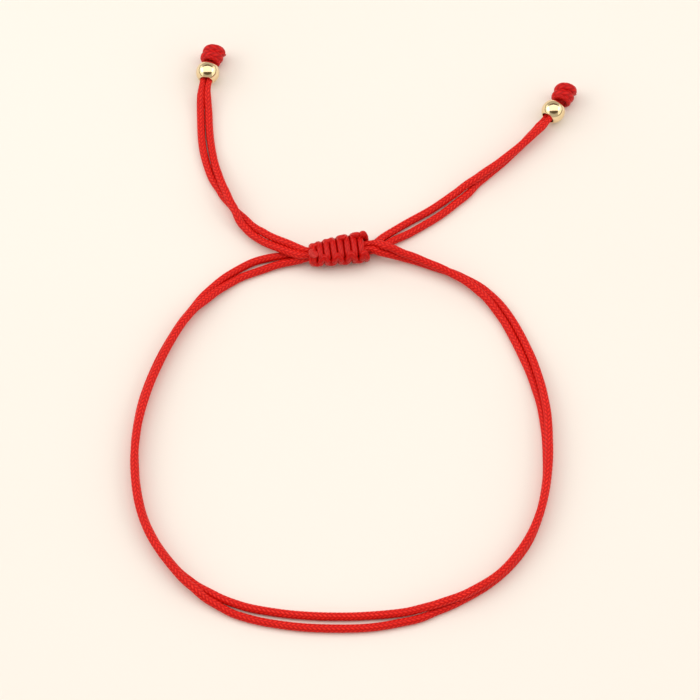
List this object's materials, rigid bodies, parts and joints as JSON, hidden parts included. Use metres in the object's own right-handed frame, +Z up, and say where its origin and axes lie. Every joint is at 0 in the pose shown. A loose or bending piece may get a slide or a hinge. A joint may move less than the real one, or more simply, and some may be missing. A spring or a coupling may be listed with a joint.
{
  "type": "adjustable cord bracelet",
  "caption": "Adjustable wrist bracelet of paired braided cords that slide through a square-knot closure, with a drilled gold bead and a stopper knot on each tail.",
  "frame": {"origin": "middle of the bracelet's outline as it lies flat, at the level of the surface it lies on", "axes": "+Z up, along the wrist's axis; +Y from the wrist loop towards the sliding knot and the tails; +X to the right seen from above"},
  "size_m": [0.0753, 0.1076, 0.0048],
  "materials": {
    "cord": "satin braided nylon",
    "knot_cord": "satin braided nylon, pulled tight",
    "gold": "polished"
  },
  "bodies": {
    "root": {"strand_a": "cord", "strand_b": "cord", "sliding_knot": "knot_cord", "bead_left": "gold", "bead_right": "gold", "end_knot_left": "cord", "end_knot_right": "cord"}
  },
  "joints": []
}
